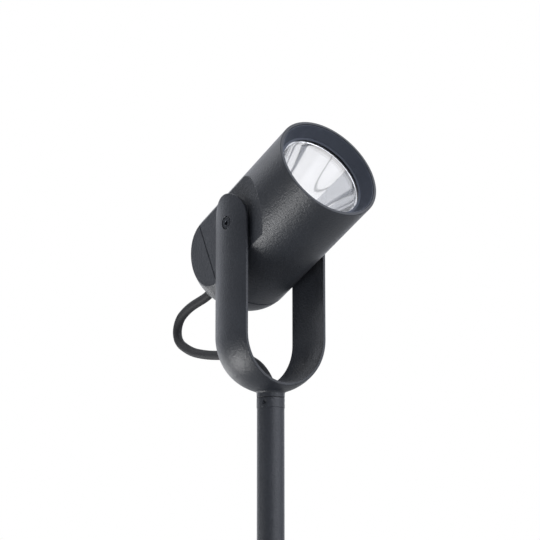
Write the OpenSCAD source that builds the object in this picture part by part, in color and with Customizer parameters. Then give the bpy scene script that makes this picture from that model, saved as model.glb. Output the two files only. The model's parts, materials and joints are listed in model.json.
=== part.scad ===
// Outdoor spotlight on a pole. A round lamp head tilts in a fork-shaped yoke,
// and the yoke swivels on the collar at the top of a slim tube with a bolt-down foot.
// Millimetres. +Z is up. The origin is the centre of the foot's underside, on the pole's axis.
// The tilt axis is parallel to X, the lamp shines towards -Y, and the cable loops on the +Y side.

/* [Head] */
// Outer diameter of the lamp head
head_d = 103; // [98:0.5:106]
// Length from the tilt axis to the front rim
head_front = 96; // [90:1:104]
// Length from the tilt axis back to the seam of the rear cap
head_seam = 47.5; // [45:0.5:52]
// Depth of the domed rear cap behind the seam
cap_depth = 43; // [38:1:48]
// Wall of the rear cap
cap_wall = 3; // [2.5:0.25:4]
// Width of the seam between the housing and the cap
seam_w = 0.8; // [0.6:0.1:1.2]
// How far the seal lies below the surface at the seam
seam_inset = 0.8; // [0.5:0.1:1.2]
// Wall between each flat side and the inner bore
side_wall = 2.5; // [2:0.25:3.5]
// Radius of the flats' front edge about the tilt axis
flat_reach = 44; // [40:1:48]
// How far the slope at the flats' front edge runs out
flat_run = 8; // [5:0.5:10]
// Angle of the lamp above the horizontal as shown
head_tilt = 26; // [15:1:35]

/* [Lamp mouth] */
// Width of the flat lip at the front rim
lip_w = 3; // [2:0.25:4]
// Depth from the rim to the glass
glass_set = 11.5; // [7:0.5:14]
// Thickness of the front glass
glass_t = 3; // [2.5:0.25:5]
// Thickness of the gasket under the glass
gasket_t = 1.5; // [1:0.25:2.5]
// Width of the ledge that carries the gasket
ledge_w = 4; // [4:0.5:6]
// Wall of the glare ring at its inner end
glare_w = 5.6; // [5:0.1:7]
// Wall of the glare ring at the rim
glare_lip = 0.8; // [0.6:0.1:1.2]
// Width of the dark ring round the reflector
trim_w = 2.4; // [2:0.1:3]
// Height of the dark ring round the reflector
trim_h = 6; // [4:0.5:8]
// Width of the reflector's bright rim
reflector_rim = 2; // [1.2:0.1:2.4]
// Wall of the reflector
reflector_wall = 1.2; // [1:0.1:1.6]
// Radius of the reflector's open neck
reflector_neck = 11; // [10:0.5:13]

/* [Lamp inside] */
// Height of the web's front face, which carries the lamp board, ahead of the tilt axis
web_front = 14; // [12:1:18]
// Thickness of the web
web_t = 6; // [5:0.5:8]
// Diameter of the lamp board
board_d = 40; // [36:1:44]
// Thickness of the lamp board
board_t = 1.6; // [1.2:0.1:2.4]
// Diameter of the light source
emitter_d = 19; // [14:1:20]
// Height of the light source
emitter_t = 1.2; // [0.8:0.1:1.8]
// Height of the lens holder on the board
holder_h = 6; // [5:0.5:8]
// Width of the driver box
driver_w = 38; // [30:1:40]
// Height of the driver box
driver_h = 26; // [20:1:28]
// Length of the driver box
driver_l = 44; // [38:1:46]
// Thickness of the driver's bracket
bracket_t = 2; // [1.5:0.25:3]
// Distance from the housing's bore in to the axis of each long cap screw
cap_screw_in = 3.4; // [3.2:0.1:5]
// Diameter of the long cap screws
cap_screw_d = 4; // [3:0.5:5]

/* [Cable entry] */
// Diameter of the rubber cable
cable_d = 8.8; // [8:0.1:10]
// Thread diameter of the cable gland
gland_thread = 16; // [15:0.5:18]
// Diameter of the gland's flange
gland_d = 20; // [19:0.5:24]
// Thickness of the gland's flange
gland_flange = 5; // [4:0.5:7]
// Length of the gland's cap nut
gland_cap_h = 9; // [7:0.5:12]
// Height of the flat seat for the gland at the end of the dome
gland_seat = 0.6; // [0.4:0.1:1]

/* [Yoke] */
// Height of the tilt axis above the ground
pivot_h = 500; // [420:5:900]
// How far the yoke's arms lie below the head's round surface
arm_set = 0.5; // [0.2:0.1:1.2]
// Wall of the yoke
yoke_wall = 2.3; // [2:0.1:2.8]
// Width of the yoke's strip
strip_w = 47; // [42:0.5:49]
// Height of the arms' tops above the tilt axis
arm_top = 27; // [25:0.5:30]
// Depth of the bowl's centre below the tilt axis
bowl_drop = 101; // [98:1:110]
// Gap between the arms' inner edges and the head's flats
flat_gap = 2.2; // [1:0.1:3]
// Diameter of the yoke's neck
neck_d = 25.6; // [25.2:0.1:27]
// Length of the neck below the bowl
neck_h = 3.5; // [3:0.25:6]
// Radius of the fillet between the bowl and the neck
neck_fillet = 2.5; // [1.5:0.25:2.75]

/* [Pivots] */
// Diameter of the flat pad inside each arm
pad_d = 20; // [18:0.5:22]
// How far each pad stands in from the arm
pad_h = 2.2; // [1.8:0.1:2.8]
// Diameter of the boss on each flat of the head
boss_d = 22; // [20:0.5:24]
// Thickness of the friction washers
washer_t = 1; // [0.8:0.1:1.4]
// Diameter of the pivot screws' heads
screw_head_d = 10.6; // [9.5:0.1:11]
// Height of the pivot screws' heads
screw_head_h = 2; // [1.6:0.1:2.2]
// Width of the dark ring round each screw head
screw_ring = 0.8; // [0.5:0.1:1.2]
// How far each screw head lies below the arm's surface
screw_sink = 0.5; // [0.3:0.1:0.8]
// Diameter of the pivot screws' shoulders
shoulder_d = 7; // [6:0.5:8]
// Wall of the pivot bushes
bush_wall = 1; // [0.8:0.1:1.4]
// Thread diameter of the pivot screws
pivot_thread = 6; // [5:0.5:6]
// Length of the pivot screws' thread
pivot_thread_l = 8; // [6:0.5:9]
// Width across the hexagon socket's corners
hex_d = 4.6; // [4:0.1:5.5]
// Depth of the hexagon socket
hex_depth = 1.5; // [1:0.1:1.6]

/* [Swivel] */
// Height of the collar
collar_h = 9; // [8:0.5:14]
// Thickness of the washer between neck and collar
swivel_gap = 0.6; // [0.5:0.1:1]
// Outer diameter of the hollow swivel stem
stem_d = 15; // [14.5:0.5:16]
// Bore of the swivel stem
stem_bore = 11; // [10.2:0.2:12]
// Depth of the collar's spigot inside the pole
spigot_h = 24; // [18:1:30]
// Height of the stem's lock nut
stem_nut_h = 6; // [5:0.5:8]
// Diameter of the collar's set screws
set_screw_d = 4; // [3:0.5:5]
// Number of set screws in the collar
set_screws = 3; // [2:1:4]
// Angle of the first set screw, from the front towards the left
set_screw_at = 65; // [45:1:75]

/* [Pole and foot] */
// Outer diameter of the pole
pole_d = 25; // [24:0.1:25.5]
// Wall of the pole
pole_wall = 2; // [1.5:0.1:2.2]
// Diameter of the foot plate
foot_d = 130; // [120:5:160]
// Thickness of the foot plate
foot_t = 8; // [6:1:12]
// Bolt circle of the foot plate
foot_pcd = 100; // [90:1:104]
// Diameter of the foot's bolt holes
foot_hole_d = 9; // [7:0.5:10]
// Number of bolt holes
foot_holes = 4; // [3:1:6]
// Wall of the socket that holds the pole
socket_wall = 4.5; // [3.5:0.5:7]
// Height of the socket above the plate
socket_h = 36; // [30:1:50]
// Leg of the weld round the socket
weld = 4; // [2:0.5:6]
// Diameter of the foot's grub screws
grub_d = 6; // [5:0.5:8]
// Height of the grub screws above the plate
grub_at = 23.5; // [12:0.5:25]
// Diameter of the cable outlet in the foot plate
outlet_d = 18; // [16:0.5:19]
// Height of the terminal block's underside above the ground
terminal_z = 60; // [50:1:90]
// Length of the terminal block
terminal_l = 60; // [50:1:80]

/* [Hidden] */
$fn = 96;

// Colours, as seen on the object
anthracite = [0.25, 0.26, 0.285];
matt_black = [0.13, 0.135, 0.15];
rubber_black = [0.10, 0.10, 0.11];
bright = [0.88, 0.89, 0.91];
steel = [0.62, 0.63, 0.65];
screw_grey = [0.22, 0.225, 0.24];
brass = [0.72, 0.58, 0.33];
white_plastic = [0.9, 0.9, 0.88];
clear_glass = [0.85, 0.9, 0.92, 0.35];
board_white = [0.85, 0.86, 0.84];
phosphor = [0.95, 0.82, 0.35];

// Clearances
fit = 0.05;       // running fit, on the radius
slip = 0.15;      // loose fit, on the radius
face_gap = 0.1;   // between flat faces that slide on each other
nip = 0.3;        // clear space between parts that move past each other
over = 1;         // how far a cutting solid runs past a face

// Small fixed sizes
seal_band = 2;          // width of the cap seal
cap_boss_wall = 2.5;    // wall of the bosses in the cap
cap_screw_grip = 14;    // thread of the long screws in those bosses
cap_screw_rim = 1.2;    // width of their heads past the shank
small_head_h = 2.2;     // height of the small screws' heads
small_head_r = 2.2;     // radius of the small screws' heads
small_screw_r = 1.25;   // radius of the small screws
small_screw_grip = 4;   // thread of the small screws in the web
board_screw_edge = 3;   // from the lamp board's edge to its screws' axes
bracket_foot = 17;      // length of the bracket's foot
bracket_screw_x = 13;   // distance of the bracket's screws from the middle
driver_gap = 6;         // between the web and the driver
lead_at = [6, 11];      // place of the lamp's leads
wire_r = 0.9;           // radius of a single wire
bore_step = 18;         // length of the wider bore behind the dark ring
holder_wall = 3.5;
glare_sink = 0.8;       // how far the glare ring lies behind the rim
glass_edge = 0.8;       // gap between the glass and the housing
trim_sink = 1;          // how far the dark ring lies below the bright rim
gland_nut_h = 4;
gland_nut_rim = 2.5;    // wall of the gland's nut at its corners
gland_tail = 2;         // thread that shows past the gland's nut
gland_cap_in = 1.2;     // how much smaller the gland's cap is than its flange, on the radius
gland_taper = 4;        // length of the tapered end of the gland's cap
gland_cap_wall = 2;     // wall of the gland's cap at the cable
seal_wall = 2;
seal_pocket = 2.5;      // depth of the seal's seat in the gland body
sheath_in = 23.5;       // length of the cable's sheath inside the cap
lead_tail = 3;          // cable below the swivel stem
stem_tail = 2;          // thread below the stem's lock nut
stem_stop = 1;          // metal between the stem's bore and the bowl's floor
cable_rubber = 2.4;     // rubber between the cable and the hole in the yoke
set_screw_sink = 0.4;   // how far set screws lie below the surface
set_hex = 0.6;          // width of a set screw's hexagon socket over its diameter
set_hex_depth = 2;
foot_edge = 1.5;        // chamfer of the foot plate
grommet_wall = 3;
grommet_lip = 1.5;

// Head, measured along its own axis from the tilt axis
cable_r = cable_d / 2;
head_r = head_d / 2;
yoke_d = head_d - 2 * arm_set;
yoke_r = yoke_d / 2;
yoke_in = yoke_r - yoke_wall;
strip_half = strip_w / 2;
arm_edge_x = sqrt(yoke_in * yoke_in - strip_half * strip_half);
flat_half = arm_edge_x - flat_gap;
bore_r = flat_half - side_wall;
cap_screw_at = (bore_r - cap_screw_in) / sqrt(2);
mouth_r = head_r - lip_w;
glass_top = head_front - glass_set;
glass_bottom = glass_top - glass_t;
ledge_z = glass_bottom - gasket_t;
ledge_r = mouth_r - ledge_w;
trim_in = ledge_r - slip - trim_w;
trim_z = ledge_z - trim_h;
rim_r = trim_in - slip;
bowl_top_r = rim_r - reflector_rim;
rim_z = glass_bottom - nip;
holder_z = web_front + board_t;
bowl_z0 = holder_z + holder_h;
web_back = web_front - web_t;
wide_z = trim_z - bore_step;
housing_back = -head_seam + seam_w / 2;
cap_front = -head_seam - seam_w / 2;
dome_end = -head_seam - cap_depth;
seat_z = dome_end - gland_seat;
gland_face = seat_z - gland_flange;
gland_end = gland_face - gland_cap_h;
seat_in = dome_end + cap_wall;
gland_nut_r = gland_thread / 2 + gland_nut_rim;
seal_in = seam_inset + seal_band;
seal_r = cable_r + seal_wall;
taper_end = gland_end + gland_taper;
gland_tip_in = seat_in + gland_nut_h + gland_tail;
board_screw_at = board_d / 2 - board_screw_edge;
driver_front = web_back - driver_gap;
driver_back = driver_front - driver_l;
sheath_end = seat_in + sheath_in;

// Pivots, measured along X
pad_x = yoke_in - pad_h;
washer_out = pad_x - face_gap;
boss_x = washer_out - washer_t;
head_out = yoke_r - screw_sink;
head_in = head_out - screw_head_h;
floor_x = head_in - face_gap;
recess_r = screw_head_d / 2 + screw_ring;
shoulder_r = shoulder_d / 2;
bush_in = shoulder_r + fit;
bush_out = bush_in + bush_wall;

// Yoke and swivel, heights above the ground
bowl_c = pivot_h - bowl_drop;
bowl_floor = bowl_c - yoke_in;
neck_r = neck_d / 2;
neck_bottom = bowl_c - yoke_r - neck_h;
collar_top = neck_bottom - swivel_gap;
pole_top = collar_top - collar_h;
spigot_bottom = pole_top - spigot_h;
nut_top = spigot_bottom - nip;
stem_bottom = nut_top - stem_nut_h - stem_tail;
stem_top = bowl_floor - stem_stop;
stem_r = stem_d / 2;
pole_r = pole_d / 2;
pole_in = pole_r - pole_wall;
socket_r = pole_r + slip + socket_wall;
hole_r = cable_r + cable_rubber;
grommet_top = bowl_floor + grommet_lip;
terminal_top = terminal_z + terminal_l;

// Cable loop: points [y, z] along its free stretch, from the gland to the grommet
back = [cos(head_tilt), -sin(head_tilt)];
gland_tip = [0, pivot_h] - gland_end * back;
loop_out = 4;
loop_in = 1;
loop_middle = [
    [105, 449.8], [112, 448.1], [119, 446.5], [125.5, 444.8], [132, 442.6], [138.5, 439.6],
    [144.5, 435.8], [148.8, 430.2], [150.8, 423.2], [149.4, 416], [144.8, 410.2], [138, 406],
    [130, 402.2], [121, 399], [110, 396.4], [98, 394.2], [85, 392.5], [71, 391], [57, 389],
    [45, 386.6], [35, 383.6], [26.2, 379.9], [18.6, 375.6], [12.2, 370.6], [6.8, 365],
    [2.8, 359.6], [0.6, 355.4]
];
loop_route = concat(
    [gland_tip, gland_tip + loop_out * back],
    loop_middle,
    [[0, grommet_top + loop_in], [0, grommet_top]]
);
loop_steps = 2;
loop_sides = 10;

// Point at t in 0 to 1 on a smooth curve from b to c
function between(a, b, c, d, t) =
    0.5 * (2 * b + (c - a) * t + (2 * a - 5 * b + 4 * c - d) * t * t
    + (3 * b - a - 3 * c + d) * t * t * t);
function unit(v) = v / norm(v);
function route_point(p, i, t) = let (n = len(p) - 1)
    between(p[max(i - 1, 0)], p[i], p[min(i + 1, n)], p[min(i + 2, n)], t);
function smooth_route(p, steps) = concat(
    [for (i = [0:len(p) - 2], k = [0:steps - 1]) route_point(p, i, k / steps)],
    [p[len(p) - 1]]
);
// One ring of a tube in the plane x = 0, square to the direction d at the point c
function ring(c, d, r, sides) = [
    for (k = [0:sides - 1]) let (a = 360 * k / sides)
        [r * cos(a), c[0] - r * sin(a) * d[1], c[1] + r * sin(a) * d[0]]
];
function step_from(p, i) = unit(p[i + 1] - p[i]);

module tube_along(route, r, steps, sides) {
    p = smooth_route(route, steps);
    n = len(p) - 1;
    directions = concat(
        [step_from(route, 0)],
        [for (i = [1:n - 1]) unit(p[i + 1] - p[i - 1])],
        [step_from(route, len(route) - 2)]
    );
    rings = [for (i = [0:n]) each ring(p[i], directions[i], r, sides)];
    last = n * sides;
    quads = [
        for (i = [0:n - 1], k = [0:sides - 1]) let (a = i * sides + k, b = i * sides + (k + 1) % sides)
            [a, b, b + sides, a + sides]
    ];
    ends = [[for (k = [sides - 1:-1:0]) k], [for (k = [0:sides - 1]) last + k]];
    polyhedron(points = rings, faces = concat(quads, ends));
}

// The head's own frame: z runs along the lamp's axis to the front, x along the tilt axis
module in_head() {
    translate([0, 0, pivot_h]) rotate([90 - head_tilt, 0, 0]) children();
}

// A child along +X on both sides, at the height of the tilt axis
module both_sides() {
    for (side = [0, 1]) mirror([side, 0, 0]) rotate([0, 90, 0]) children();
}

module pipe(z0, z1, r_out, r_in) {
    translate([0, 0, z0]) difference() {
        cylinder(h = z1 - z0, r = r_out);
        translate([0, 0, -over]) cylinder(h = z1 - z0 + 2 * over, r = r_in);
    }
}

module disc(z0, z1, r) {
    translate([0, 0, z0]) cylinder(h = z1 - z0, r = r);
}

// Cut that leaves the two flat sides, with a slope at their front edge
module flats_cut() {
    deep = head_r + over - flat_half;
    for (side = [0, 1]) mirror([side, 0, 0]) translate([flat_half, 0, 0]) {
        translate([0, -head_d, -2 * head_d]) cube([deep, 2 * head_d, 2 * head_d]);
        rotate([0, 90, 0])
            cylinder(h = deep, r1 = flat_reach, r2 = flat_reach + flat_run * deep / (head_r - flat_half));
    }
}

module at_cap_screws() {
    for (x = [-1, 1], y = [-1, 1]) translate([x * cap_screw_at, y * cap_screw_at, 0]) children();
}

module front_housing() color(anthracite) in_head() difference() {
    union() {
        difference() {
            disc(housing_back, head_front, head_r);
            flats_cut();
            disc(housing_back - over, web_back, bore_r);
            disc(web_front, wide_z + over, bore_r);
            disc(wide_z, trim_z + over, trim_in);
            disc(trim_z, ledge_z + over, ledge_r);
            disc(ledge_z, head_front + over, mouth_r);
        }
        both_sides() disc(boss_x - pivot_thread_l - over, boss_x, boss_d / 2);
    }
    both_sides() disc(boss_x - pivot_thread_l - 2 * over, boss_x + over, pivot_thread / 2 + fit);
    at_cap_screws() disc(web_back - over, web_front + over, cap_screw_d / 2 + slip);
    at_leads() disc(web_back - over, web_front + over, 2 * wire_r);
    at_board_screws() disc(web_front - small_screw_grip, web_front + over, small_screw_r + fit);
    at_bracket_screws() disc(web_back - over, web_back + small_screw_grip, small_screw_r + fit);
}

// Disc with two flat sides, as the head is behind its flats' front edge
module flat_sided(z0, z1, r, half) intersection() {
    disc(z0, z1, r);
    translate([-half, -2 * r, z0 - over]) cube([2 * half, 4 * r, z1 - z0 + 2 * over]);
}

// Solid with the rear cap's outline, smaller all round by the given amount
module cap_form(less) {
    r = head_r - less;
    half = flat_half - less;
    dome = [for (a = [85:-5:0]) [r * sin(a), -head_seam - (cap_depth - less) * cos(a)]];
    intersection() {
        rotate_extrude() polygon(concat([[0, cap_front], [r, cap_front]], dome));
        translate([-half, -head_d, -2 * head_d]) cube([2 * half, 2 * head_d, 2 * head_d]);
    }
}

module rear_cap() color(anthracite) in_head() difference() {
    union() {
        difference() {
            cap_form(0);
            cap_form(cap_wall);
        }
        intersection() {
            at_cap_screws() disc(-2 * head_d, cap_front, cap_screw_d / 2 + cap_boss_wall);
            cap_form(cap_wall / 2);
        }
        disc(seat_z, seat_in, gland_d / 2 + over);
    }
    disc(seat_z - over, seat_in + over, gland_thread / 2 + slip);
    disc(seat_in, seat_in + gland_nut_h + over, gland_nut_r + nip);
    at_cap_screws() disc(cap_front - cap_screw_grip - over, cap_front + over, cap_screw_d / 2 + fit);
}

module cap_seal() color(rubber_black) in_head() difference() {
    flat_sided(cap_front, housing_back, head_r - seam_inset, flat_half - seam_inset);
    flat_sided(cap_front - over, housing_back + over, head_r - seal_in, flat_half - seal_in);
}

module cap_screws() color(steel) in_head() at_cap_screws() {
    disc(cap_front - cap_screw_grip, web_front, cap_screw_d / 2);
    disc(web_front, web_front + small_head_h, cap_screw_d / 2 + cap_screw_rim);
}

// Matt ring that slopes from the rim in to the glass
module glare_ring() color(matt_black) in_head() rotate_extrude() polygon([
    [mouth_r - glare_w, glass_top],
    [mouth_r - slip, glass_top],
    [mouth_r - slip, head_front - glare_sink],
    [mouth_r - glare_lip, head_front - glare_sink]
]);

module glass_gasket() color(rubber_black) in_head()
    pipe(ledge_z, glass_bottom, mouth_r - slip, ledge_r);

module front_glass() color(clear_glass) in_head()
    disc(glass_bottom, glass_top, mouth_r - glass_edge);

module trim_ring() color(matt_black) in_head()
    pipe(trim_z, rim_z - trim_sink, ledge_r - slip, trim_in);

// Height of the reflector's inner face at the radius r
function bowl_at(r) = bowl_z0 + (rim_z - bowl_z0) * (r * r - reflector_neck * reflector_neck)
    / (bowl_top_r * bowl_top_r - reflector_neck * reflector_neck);

module reflector() color(bright) in_head() {
    steps = 16;
    radii = [for (k = [0:steps]) reflector_neck + (bowl_top_r - reflector_neck) * k / steps];
    inner = [for (r = radii) [r, bowl_at(r)]];
    outer = [for (k = [steps - 1:-1:0]) [radii[k] + reflector_wall, bowl_at(radii[k])]];
    rotate_extrude() polygon(concat(
        inner, [[rim_r, rim_z], [rim_r, rim_z - reflector_wall]], outer
    ));
}

module lens_holder() color(white_plastic) in_head()
    pipe(holder_z, bowl_z0, emitter_d / 2 + fit + holder_wall, emitter_d / 2 + fit);

module at_board_screws() {
    for (k = [0:2]) rotate([0, 0, 120 * k + 30]) translate([board_screw_at, 0, 0]) children();
}

module lamp_board() color(board_white) in_head() difference() {
    disc(web_front, holder_z, board_d / 2);
    at_board_screws() disc(web_front - over, holder_z + over, small_screw_r + slip);
}

module light_source() color(phosphor) in_head()
    disc(holder_z, holder_z + emitter_t, emitter_d / 2);

module board_screws() color(steel) in_head() at_board_screws() {
    disc(web_front - small_screw_grip, holder_z, small_screw_r);
    disc(holder_z, holder_z + small_head_h, small_head_r);
}

module at_leads() {
    for (x = [-1, 1]) translate([x * lead_at[0], lead_at[1], 0]) children();
}

module lamp_leads() color("firebrick") in_head() at_leads() disc(driver_front, web_front, wire_r);

module driver() color(white_plastic) in_head() translate([-driver_w / 2, -driver_h / 2, driver_back])
    cube([driver_w, driver_h, driver_l]);

module at_bracket_screws() {
    for (x = [-1, 1])
        translate([x * bracket_screw_x, -driver_h / 2 - bracket_foot / 2, 0]) children();
}

module driver_bracket() color("silver") in_head() difference() {
    translate([-driver_w / 2, -driver_h / 2, 0]) {
        translate([0, -bracket_t, driver_back]) cube([driver_w, bracket_t, web_back - driver_back]);
        translate([0, -bracket_foot, web_back - bracket_t]) cube([driver_w, bracket_foot, bracket_t]);
    }
    at_bracket_screws() disc(web_back - bracket_t - over, web_back + over, small_screw_r + slip);
}

module bracket_screws() color(steel) in_head() at_bracket_screws() {
    disc(web_back - bracket_t, web_back + small_screw_grip, small_screw_r);
    disc(web_back - bracket_t - small_head_h, web_back - bracket_t, small_head_r);
}

module gland_body() color(rubber_black) in_head() difference() {
    union() {
        translate([0, 0, gland_face]) cylinder(h = gland_flange, d = gland_d, $fn = 6);
        disc(seat_z - over, gland_tip_in, gland_thread / 2);
    }
    disc(gland_face - over, gland_tip_in + over, cable_r + slip);
    disc(gland_face - over, gland_face + seal_pocket, seal_r + slip);
}

module gland_cap() color(rubber_black) in_head() difference() {
    rotate_extrude() polygon([
        [0, gland_end], [cable_r + gland_cap_wall, gland_end],
        [gland_d / 2 - gland_cap_in, taper_end], [gland_d / 2 - gland_cap_in, gland_face],
        [0, gland_face]
    ]);
    disc(gland_end - over, gland_face + over, cable_r + slip);
    disc(taper_end, gland_face + over, seal_r + slip);
}

module gland_seal() color("dimgray") in_head()
    pipe(taper_end, gland_face + seal_pocket, seal_r, cable_r);

module gland_nut() color(brass) in_head() difference() {
    translate([0, 0, seat_in]) cylinder(h = gland_nut_h, r = gland_nut_r, $fn = 6);
    disc(seat_in - over, seat_in + gland_nut_h + over, gland_thread / 2 + fit);
}

module head_lead() color(rubber_black) in_head() disc(gland_end, sheath_end, cable_r);

module lead_cores() color("firebrick") in_head()
    for (k = [0:2]) rotate([0, 0, 120 * k]) translate([cable_r / 2, 0, 0])
        disc(sheath_end, driver_back, wire_r);

module pivot_screws() color(screw_grey) translate([0, 0, pivot_h]) both_sides() difference() {
    union() {
        disc(boss_x - pivot_thread_l, boss_x, pivot_thread / 2);
        disc(boss_x, head_in, shoulder_r);
        disc(head_in, head_out, screw_head_d / 2);
    }
    translate([0, 0, head_out - hex_depth]) cylinder(h = hex_depth + over, d = hex_d, $fn = 6);
}

module pivot_washers() color(matt_black) translate([0, 0, pivot_h]) both_sides()
    pipe(boss_x, washer_out, pad_d / 2, shoulder_r + slip);

module pivot_bushes() color(brass) translate([0, 0, pivot_h]) both_sides()
    pipe(pad_x, floor_x, bush_out, bush_in);

// Upright cylinder that ends in a half ball below
module bowl_solid(r, top) {
    translate([0, 0, bowl_c]) sphere(r = r);
    disc(bowl_c, top, r);
}

// Flat strip with a round top, which cuts the two arms out of the shell
module strip() {
    round_z = pivot_h + arm_top - strip_half;
    translate([-yoke_d, -strip_half, bowl_c - yoke_d])
        cube([2 * yoke_d, strip_w, round_z - bowl_c + yoke_d]);
    translate([-yoke_d, 0, round_z]) rotate([0, 90, 0]) cylinder(h = 2 * yoke_d, r = strip_half);
}

// Hollow of the fillet between the bowl and the neck
module neck_flare() {
    far = yoke_r + neck_fillet;
    out = neck_r + neck_fillet;
    low = -sqrt(far * far - out * out);
    touch = [out, low] * yoke_r / far;
    translate([0, 0, bowl_c]) rotate_extrude() difference() {
        polygon([[neck_r - over, low], [out, low], touch, [neck_r - over, touch[1]]]);
        translate([out, low]) circle(r = neck_fillet);
    }
}

module yoke() color(anthracite) difference() {
    union() {
        intersection() {
            difference() {
                bowl_solid(yoke_r, pivot_h + arm_top + over);
                bowl_solid(yoke_in, pivot_h + arm_top + 2 * over);
            }
            strip();
        }
        disc(neck_bottom, bowl_floor, neck_r);
        neck_flare();
        intersection() {
            translate([0, 0, pivot_h]) both_sides() disc(pad_x, yoke_r, pad_d / 2);
            bowl_solid(yoke_r - yoke_wall / 2, pivot_h + arm_top + over);
        }
    }
    translate([0, 0, pivot_h]) both_sides() {
        disc(pad_x - over, yoke_r + over, bush_out + fit);
        disc(floor_x, yoke_r + over, recess_r);
    }
    disc(neck_bottom - over, bowl_floor + over, hole_r);
    disc(bowl_floor, grommet_top + over, hole_r + grommet_lip + slip);
    disc(neck_bottom - over, stem_top, stem_r + fit);
}

module yoke_grommet() color(rubber_black) {
    pipe(bowl_floor, grommet_top, hole_r + grommet_lip, cable_r);
    pipe(stem_top, bowl_floor + over / 2, hole_r - fit, cable_r);
}

module cable_loop() color(rubber_black) tube_along(loop_route, cable_r, loop_steps, loop_sides);

module swivel_stem() color(steel) pipe(stem_bottom, stem_top, stem_r, stem_bore / 2);

module stem_nut() color(steel) difference() {
    translate([0, 0, nut_top - stem_nut_h])
        cylinder(h = stem_nut_h, r = pole_in - nip, $fn = 6);
    disc(nut_top - stem_nut_h - over, nut_top + over, stem_r + fit);
}

module stem_lead() color(rubber_black) disc(stem_bottom - lead_tail, grommet_top, cable_r);

module swivel_washer() color(matt_black) pipe(collar_top, neck_bottom, neck_r - seam_inset, stem_r + slip);

// A child along +X at each set screw, at the middle of the collar
module at_set_screws() {
    for (k = [0:set_screws - 1])
        translate([0, 0, pole_top + collar_h / 2])
            rotate([0, 0, 270 - set_screw_at + 360 * k / set_screws]) rotate([0, 90, 0]) children();
}

module collar() color(anthracite) difference() {
    union() {
        disc(pole_top, collar_top, neck_r);
        disc(spigot_bottom, pole_top + over, pole_in - fit);
    }
    disc(spigot_bottom - over, collar_top + over, stem_r + fit);
    at_set_screws() disc(0, neck_r + over, set_screw_d / 2 + fit);
}

module set_screws() color(screw_grey) at_set_screws() difference() {
    disc(stem_r + nip, neck_r - set_screw_sink, set_screw_d / 2);
    translate([0, 0, neck_r - set_screw_sink - set_hex_depth])
        cylinder(h = set_hex_depth + over, d = set_screw_d * set_hex, $fn = 6);
}

module pole() color(anthracite) difference() {
    pipe(foot_t, pole_top, pole_r, pole_in);
    at_grub_screws() disc(0, pole_d, grub_d / 2 + fit);
}

module pole_lead() color(rubber_black) disc(terminal_top, stem_bottom - lead_tail, cable_r);

module terminal_block() color(matt_black) disc(terminal_z, terminal_top, pole_in - nip);

module at_foot_holes() {
    for (k = [0:foot_holes - 1]) rotate([0, 0, 360 * (k + 0.5) / foot_holes])
        translate([foot_pcd / 2, 0, 0]) children();
}

module foot_plate() color(anthracite) difference() {
    rotate_extrude() polygon([
        [0, 0], [foot_d / 2, 0], [foot_d / 2, foot_t - foot_edge],
        [foot_d / 2 - foot_edge, foot_t], [0, foot_t]
    ]);
    at_foot_holes() disc(-over, foot_t + over, foot_hole_d / 2);
    disc(-over, foot_t + over, outlet_d / 2);
}

// A child along +X at each grub screw of the socket
module at_grub_screws() {
    for (k = [0:1]) translate([0, 0, foot_t + grub_at])
        rotate([0, 0, 180 * k]) rotate([0, 90, 0]) children();
}

module foot_socket() color(anthracite) difference() {
    union() {
        pipe(foot_t, foot_t + socket_h, socket_r, pole_r + slip);
        rotate_extrude() polygon([
            [socket_r - over, foot_t], [socket_r + weld, foot_t],
            [socket_r, foot_t + weld], [socket_r - over, foot_t + weld]
        ]);
    }
    at_grub_screws() disc(0, socket_r + over, grub_d / 2 + fit);
}

module grub_screws() color(screw_grey) at_grub_screws() difference() {
    disc(pole_in + pole_wall / 2, socket_r - set_screw_sink, grub_d / 2);
    translate([0, 0, socket_r - set_screw_sink - set_hex_depth])
        cylinder(h = set_hex_depth + over, d = grub_d * set_hex, $fn = 6);
}

module foot_grommet() color(rubber_black) {
    pipe(over, foot_t + grommet_lip / 2, outlet_d / 2 - fit, outlet_d / 2 - grommet_wall);
    pipe(foot_t, foot_t + grommet_lip, outlet_d / 2 + grommet_lip / 2, outlet_d / 2 - grommet_wall);
}

front_housing();
rear_cap();
cap_seal();
cap_screws();
glare_ring();
glass_gasket();
front_glass();
trim_ring();
reflector();
lens_holder();
lamp_board();
light_source();
board_screws();
lamp_leads();
driver();
driver_bracket();
bracket_screws();
gland_body();
gland_cap();
gland_seal();
gland_nut();
head_lead();
lead_cores();
pivot_screws();
pivot_washers();
yoke();
pivot_bushes();
yoke_grommet();
cable_loop();
swivel_stem();
stem_nut();
stem_lead();
swivel_washer();
collar();
set_screws();
pole();
pole_lead();
terminal_block();
foot_plate();
foot_socket();
grub_screws();
foot_grommet();
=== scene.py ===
import json
import math

import bmesh
import bpy
from mathutils import Matrix, Vector

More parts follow.
